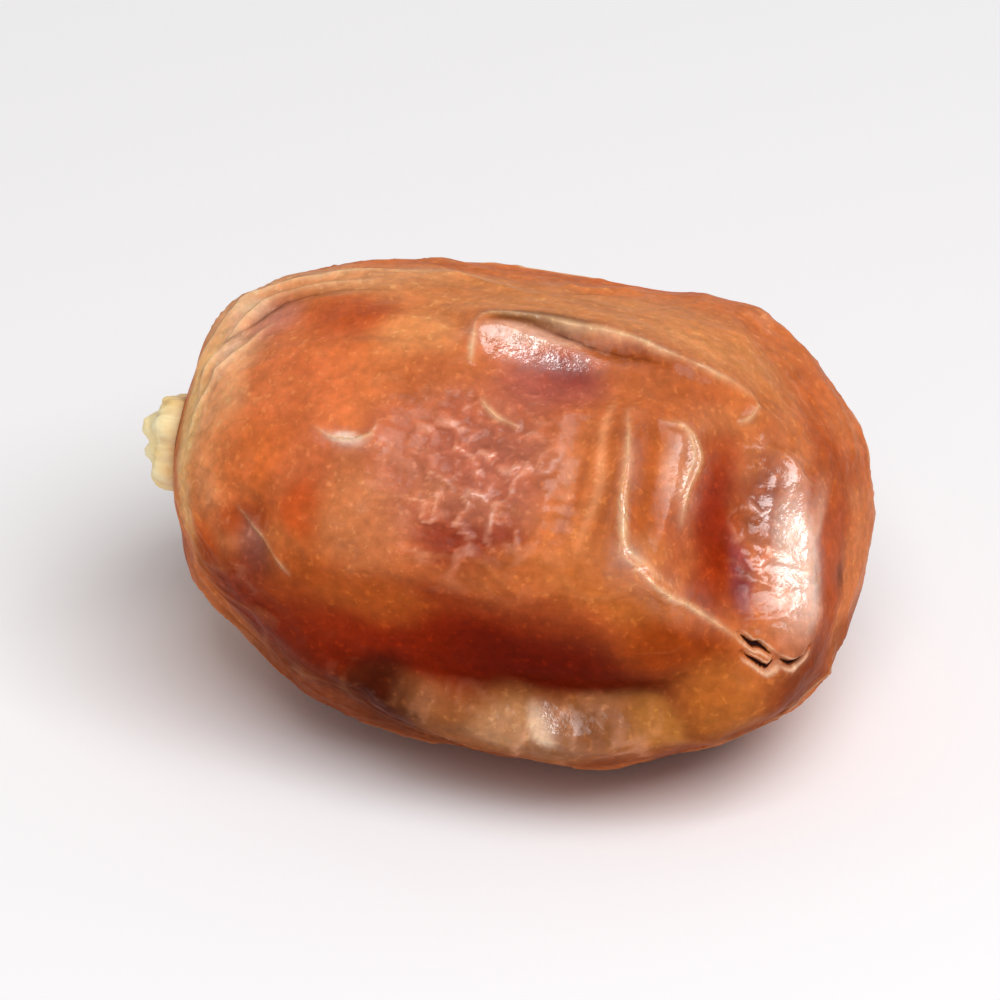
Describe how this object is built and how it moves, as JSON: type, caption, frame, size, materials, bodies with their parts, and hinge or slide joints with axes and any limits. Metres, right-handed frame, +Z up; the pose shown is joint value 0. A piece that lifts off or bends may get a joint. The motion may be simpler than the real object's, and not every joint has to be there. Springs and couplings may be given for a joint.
{
  "type": "date fruit",
  "caption": "Whole soft dried date lying on its side, wrinkled and glossy, with the dry cap still on its stem end.",
  "frame": {"origin": "on the surface that the date lies on, under the middle of its outline", "axes": "+X along the date from its stem end to its blossom end, +Z up"},
  "size_m": [0.0424, 0.029, 0.0273],
  "materials": {
    "date_skin": "gloss",
    "dry_cap": "matte"
  },
  "bodies": {
    "root": {"fruit": "date_skin", "calyx": "dry_cap"}
  },
  "joints": []
}
